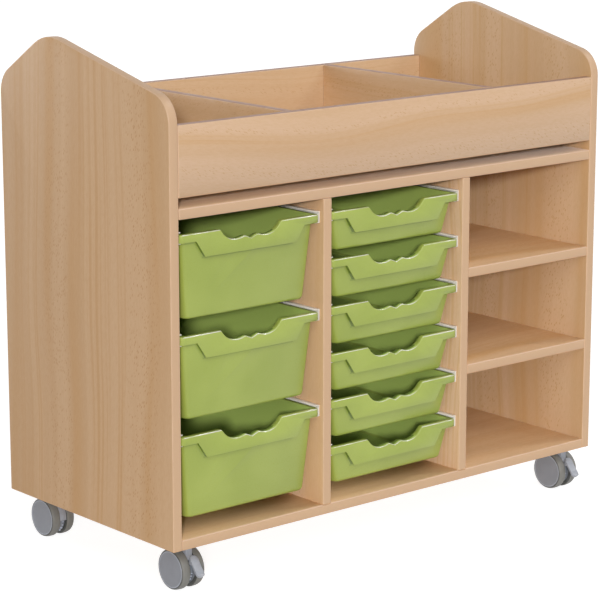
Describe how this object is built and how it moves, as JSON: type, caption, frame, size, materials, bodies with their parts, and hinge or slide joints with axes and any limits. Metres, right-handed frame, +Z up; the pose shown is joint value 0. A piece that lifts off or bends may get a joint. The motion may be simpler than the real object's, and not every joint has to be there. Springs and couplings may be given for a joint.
{
  "type": "mobile bin cart",
  "caption": "Beech-laminate cart on castors with sliding deep and shallow bins, an open shelf bay, a flat paper slot and a divided top trough between humped sides.",
  "frame": {"origin": "on the floor, under the middle of the cabinet", "axes": "+X along the cart's length, to the right seen from the front; +Y towards its back; +Z up"},
  "size_m": [1.045, 0.504, 0.9569],
  "materials": {
    "beech_laminate": "satin laminate with fine beech grain",
    "green_plastic": "satin moulded plastic",
    "white_plastic": "satin moulded plastic",
    "plated_steel": "zinc plated",
    "wheel_plastic": "matt",
    "hood_plastic": "satin"
  },
  "bodies": {
    "cabinet": {"side_panel_left": "beech_laminate", "side_panel_right": "beech_laminate", "bottom_panel": "beech_laminate", "top_deck": "beech_laminate", "divider_left": "beech_laminate", "divider_right": "beech_laminate", "back_panel": "beech_laminate", "shelf_lower": "beech_laminate", "shelf_upper": "beech_laminate", "trough_front_board": "beech_laminate", "trough_back_board": "beech_laminate", "trough_floor": "beech_laminate", "trough_divider_left": "beech_laminate", "trough_divider_right": "beech_laminate", "deep_runner_1_left": "white_plastic", "deep_runner_1_right": "white_plastic", "deep_runner_2_left": "white_plastic", "deep_runner_2_right": "white_plastic", "deep_runner_3_left": "white_plastic", "deep_runner_3_right": "white_plastic", "shallow_runner_1_left": "white_plastic", "shallow_runner_1_right": "white_plastic", "shallow_runner_2_left": "white_plastic", "shallow_runner_2_right": "white_plastic", "shallow_runner_3_left": "white_plastic", "shallow_runner_3_right": "white_plastic", "shallow_runner_4_left": "white_plastic", "shallow_runner_4_right": "white_plastic", "shallow_runner_5_left": "white_plastic", "shallow_runner_5_right": "white_plastic", "shallow_runner_6_left": "white_plastic", "shallow_runner_6_right": "white_plastic", "castor_plate_front_left": "plated_steel", "castor_plate_front_right": "plated_steel", "castor_plate_back_left": "plated_steel", "castor_plate_back_right": "plated_steel"},
    "deep_bin_1": {"deep_bin_1": "green_plastic"},
    "deep_bin_2": {"deep_bin_2": "green_plastic"},
    "deep_bin_3": {"deep_bin_3": "green_plastic"},
    "shallow_bin_1": {"shallow_bin_1": "green_plastic"},
    "shallow_bin_2": {"shallow_bin_2": "green_plastic"},
    "shallow_bin_3": {"shallow_bin_3": "green_plastic"},
    "shallow_bin_4": {"shallow_bin_4": "green_plastic"},
    "shallow_bin_5": {"shallow_bin_5": "green_plastic"},
    "shallow_bin_6": {"shallow_bin_6": "green_plastic"},
    "castor_front_left": {"castor_housing_front_left": "hood_plastic"},
    "wheel_front_left_left": {"wheel_front_left_left": "wheel_plastic"},
    "wheel_front_left_right": {"wheel_front_left_right": "wheel_plastic"},
    "brake_lever_front_left": {"brake_lever_front_left": "hood_plastic"},
    "castor_front_right": {"castor_housing_front_right": "hood_plastic"},
    "wheel_front_right_left": {"wheel_front_right_left": "wheel_plastic"},
    "wheel_front_right_right": {"wheel_front_right_right": "wheel_plastic"},
    "brake_lever_front_right": {"brake_lever_front_right": "hood_plastic"},
    "castor_back_left": {"castor_housing_back_left": "hood_plastic"},
    "wheel_back_left_left": {"wheel_back_left_left": "wheel_plastic"},
    "wheel_back_left_right": {"wheel_back_left_right": "wheel_plastic"},
    "castor_back_right": {"castor_housing_back_right": "hood_plastic"},
    "wheel_back_right_left": {"wheel_back_right_left": "wheel_plastic"},
    "wheel_back_right_right": {"wheel_back_right_right": "wheel_plastic"}
  },
  "joints": [
    {"name": "deep_bin_1_slide", "type": "slide", "parent": "cabinet", "child": "deep_bin_1", "axis": [0, -1, 0], "range_m": [0, 0.3]},
    {"name": "deep_bin_2_slide", "type": "slide", "parent": "cabinet", "child": "deep_bin_2", "axis": [0, -1, 0], "range_m": [0, 0.3]},
    {"name": "deep_bin_3_slide", "type": "slide", "parent": "cabinet", "child": "deep_bin_3", "axis": [0, -1, 0], "range_m": [0, 0.3]},
    {"name": "shallow_bin_1_slide", "type": "slide", "parent": "cabinet", "child": "shallow_bin_1", "axis": [0, -1, 0], "range_m": [0, 0.3]},
    {"name": "shallow_bin_2_slide", "type": "slide", "parent": "cabinet", "child": "shallow_bin_2", "axis": [0, -1, 0], "range_m": [0, 0.3]},
    {"name": "shallow_bin_3_slide", "type": "slide", "parent": "cabinet", "child": "shallow_bin_3", "axis": [0, -1, 0], "range_m": [0, 0.3]},
    {"name": "shallow_bin_4_slide", "type": "slide", "parent": "cabinet", "child": "shallow_bin_4", "axis": [0, -1, 0], "range_m": [0, 0.3]},
    {"name": "shallow_bin_5_slide", "type": "slide", "parent": "cabinet", "child": "shallow_bin_5", "axis": [0, -1, 0], "range_m": [0, 0.3]},
    {"name": "shallow_bin_6_slide", "type": "slide", "parent": "cabinet", "child": "shallow_bin_6", "axis": [0, -1, 0], "range_m": [0, 0.3]},
    {"name": "castor_front_left_swivel", "type": "hinge", "parent": "cabinet", "child": "castor_front_left", "pos_m": [-0.4585, -0.1995, 0.088], "axis": [0, 0, 1], "continuous": true},
    {"name": "wheel_front_left_left_spin", "type": "hinge", "parent": "castor_front_left", "child": "wheel_front_left_left", "pos_m": [-0.4585, -0.1895, 0.03732], "axis": [1, 0, 0], "continuous": true},
    {"name": "wheel_front_left_right_spin", "type": "hinge", "parent": "castor_front_left", "child": "wheel_front_left_right", "pos_m": [-0.4585, -0.1895, 0.03732], "axis": [1, 0, 0], "continuous": true},
    {"name": "brake_lever_front_left_tilt", "type": "hinge", "parent": "castor_front_left", "child": "brake_lever_front_left", "pos_m": [-0.4585, -0.22367, 0.0545], "axis": [-1, 0, 0], "range_deg": [0, 22]},
    {"name": "castor_front_right_swivel", "type": "hinge", "parent": "cabinet", "child": "castor_front_right", "pos_m": [0.4935, -0.1995, 0.088], "axis": [0, 0, 1], "continuous": true},
    {"name": "wheel_front_right_left_spin", "type": "hinge", "parent": "castor_front_right", "child": "wheel_front_right_left", "pos_m": [0.4935, -0.1895, 0.03732], "axis": [1, 0, 0], "continuous": true},
    {"name": "wheel_front_right_right_spin", "type": "hinge", "parent": "castor_front_right", "child": "wheel_front_right_right", "pos_m": [0.4935, -0.1895, 0.03732], "axis": [1, 0, 0], "continuous": true},
    {"name": "brake_lever_front_right_tilt", "type": "hinge", "parent": "castor_front_right", "child": "brake_lever_front_right", "pos_m": [0.4935, -0.22367, 0.0545], "axis": [-1, 0, 0], "range_deg": [0, 22]},
    {"name": "castor_back_left_swivel", "type": "hinge", "parent": "cabinet", "child": "castor_back_left", "pos_m": [-0.4585, 0.1995, 0.088], "axis": [0, 0, 1], "continuous": true},
    {"name": "wheel_back_left_left_spin", "type": "hinge", "parent": "castor_back_left", "child": "wheel_back_left_left", "pos_m": [-0.4585, 0.2095, 0.03732], "axis": [1, 0, 0], "continuous": true},
    {"name": "wheel_back_left_right_spin", "type": "hinge", "parent": "castor_back_left", "child": "wheel_back_left_right", "pos_m": [-0.4585, 0.2095, 0.03732], "axis": [1, 0, 0], "continuous": true},
    {"name": "castor_back_right_swivel", "type": "hinge", "parent": "cabinet", "child": "castor_back_right", "pos_m": [0.4935, 0.1995, 0.088], "axis": [0, 0, 1], "continuous": true},
    {"name": "wheel_back_right_left_spin", "type": "hinge", "parent": "castor_back_right", "child": "wheel_back_right_left", "pos_m": [0.4935, 0.2095, 0.03732], "axis": [1, 0, 0], "continuous": true},
    {"name": "wheel_back_right_right_spin", "type": "hinge", "parent": "castor_back_right", "child": "wheel_back_right_right", "pos_m": [0.4935, 0.2095, 0.03732], "axis": [1, 0, 0], "continuous": true}
  ]
}
